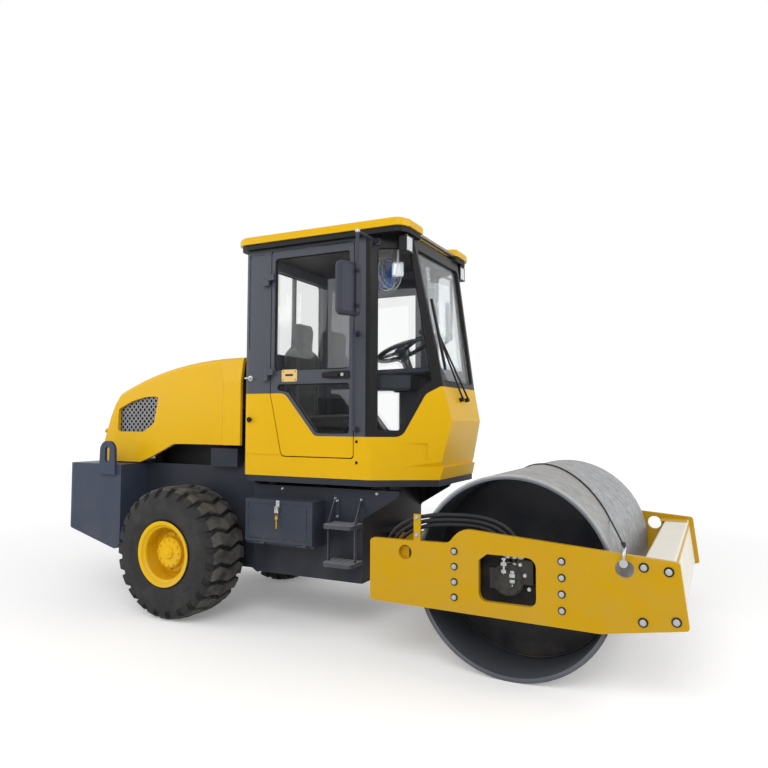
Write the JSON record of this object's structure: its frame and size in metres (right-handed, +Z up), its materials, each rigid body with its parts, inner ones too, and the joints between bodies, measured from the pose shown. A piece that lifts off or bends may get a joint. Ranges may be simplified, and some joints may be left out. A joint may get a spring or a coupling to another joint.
{
  "type": "single-drum road roller",
  "caption": "Articulated soil compactor with a smooth steel drum in a plate frame, a closed cab with a hinged door, a sloping bonnet over the engine and lugged rear tyres.",
  "frame": {"origin": "on the ground, under the middle of the machine's box", "axes": "+X forwards to the drum, +Y to the operator's left, +Z up"},
  "size_m": [4.9902, 2.035, 2.986],
  "materials": {
    "slate_paint": "satin",
    "yellow_paint": "gloss",
    "mustard_paint": "satin",
    "cream_paint": "satin",
    "black_metal": "satin",
    "black_plastic": "matte",
    "steel": "worn",
    "rubber": "matte",
    "tyre": "matte",
    "glass": "clear",
    "seat_fabric": "woven"
  },
  "bodies": {
    "chassis": {"rear_frame": "slate_paint", "counterweight": "slate_paint", "lifting_eyes": "slate_paint", "rear_axle": "slate_paint", "engine": "black_metal", "side_tank": "slate_paint", "bulkhead": "slate_paint", "cab_mounts": "rubber", "cab_floor": "black_metal", "cab_panels": "yellow_paint", "cab_frame": "slate_paint", "windscreen": "glass", "quarter_glass": "glass", "left_glass": "glass", "rear_glass": "glass", "roof_cap": "yellow_paint", "roof_liner": "black_plastic", "seat_base": "black_plastic", "seat_cushion": "seat_fabric", "seat_back": "seat_fabric", "console": "black_plastic", "steering_wheel": "black_plastic", "wiper": "black_metal", "mirrors": "black_plastic", "work_lamps": "black_plastic", "grab_rail": "black_metal", "steps": "steel", "toolbox": "slate_paint"},
    "bonnet": {"hood": "yellow_paint", "hood_grilles": "steel"},
    "cab_door": {"door_frame": "slate_paint", "door_panel": "yellow_paint", "door_glass": "glass", "door_handle": "black_plastic"},
    "toolbox_lid": {"toolbox_door": "slate_paint", "toolbox_latch": "steel"},
    "front_frame": {"side_plates": "mustard_paint", "front_beam": "cream_paint", "rear_beam": "mustard_paint", "drum_mounts": "black_metal", "drum_hubs": "black_metal", "hoses": "rubber", "shackle": "steel"},
    "drum": {"drum_shell": "steel", "drum_discs": "black_metal"},
    "wheel_right": {"tyre_right": "tyre", "rim_right": "yellow_paint"},
    "wheel_left": {"tyre_left": "tyre", "rim_left": "yellow_paint"},
    "cylinder_right": {"barrel_right": "black_metal"},
    "piston_right": {"rod_right": "steel"},
    "cylinder_left": {"barrel_left": "black_metal"},
    "piston_left": {"rod_left": "steel"}
  },
  "joints": [
    {"name": "steer", "type": "hinge", "parent": "chassis", "child": "front_frame", "pos_m": [0.404, 0, 0.58], "axis": [0, 0, 1], "range_deg": [-35, 35]},
    {"name": "drum_spin", "type": "hinge", "parent": "front_frame", "child": "drum", "pos_m": [1.516, 0, 0.6125], "axis": [0, 1, 0], "continuous": true},
    {"name": "wheel_right_spin", "type": "hinge", "parent": "chassis", "child": "wheel_right", "pos_m": [-1.216, -0.73, 0.511], "axis": [0, 1, 0], "continuous": true},
    {"name": "wheel_left_spin", "type": "hinge", "parent": "chassis", "child": "wheel_left", "pos_m": [-1.216, 0.73, 0.511], "axis": [0, 1, 0], "continuous": true},
    {"name": "door_swing", "type": "hinge", "parent": "chassis", "child": "cab_door", "pos_m": [-0.461, -0.645, 2], "axis": [0, 0, -1], "range_deg": [0, 100]},
    {"name": "bonnet_lift", "type": "hinge", "parent": "chassis", "child": "bonnet", "pos_m": [-0.776, 0, 1.99], "axis": [0, 1, 0], "range_deg": [0, 50]},
    {"name": "toolbox_swing", "type": "hinge", "parent": "chassis", "child": "toolbox_lid", "pos_m": [-0.288, -0.711, 0.628], "axis": [1, 0, 0], "range_deg": [0, 95]},
    {"name": "cylinder_right_swing", "type": "hinge", "parent": "chassis", "child": "cylinder_right", "pos_m": [0.064, -0.25, 0.58], "axis": [0, 0, 1], "range_deg": [-14.4, 14.4]},
    {"name": "piston_right_slide", "type": "slide", "parent": "cylinder_right", "child": "piston_right", "axis": [1, 0, 0], "range_m": [-0.152, 0.152]},
    {"name": "cylinder_left_swing", "type": "hinge", "parent": "chassis", "child": "cylinder_left", "pos_m": [0.064, 0.25, 0.58], "axis": [0, 0, 1], "range_deg": [-14.4, 14.4]},
    {"name": "piston_left_slide", "type": "slide", "parent": "cylinder_left", "child": "piston_left", "axis": [1, 0, 0], "range_m": [-0.152, 0.152]}
  ],
  "couplings": [
    {"joint": "cylinder_right_swing", "follows": "steer", "ratio": 0.4077},
    {"joint": "piston_right_slide", "follows": "steer", "m_per_rad": 0.2473},
    {"joint": "cylinder_left_swing", "follows": "steer", "ratio": 0.4077},
    {"joint": "piston_left_slide", "follows": "steer", "m_per_rad": -0.2473}
  ]
}
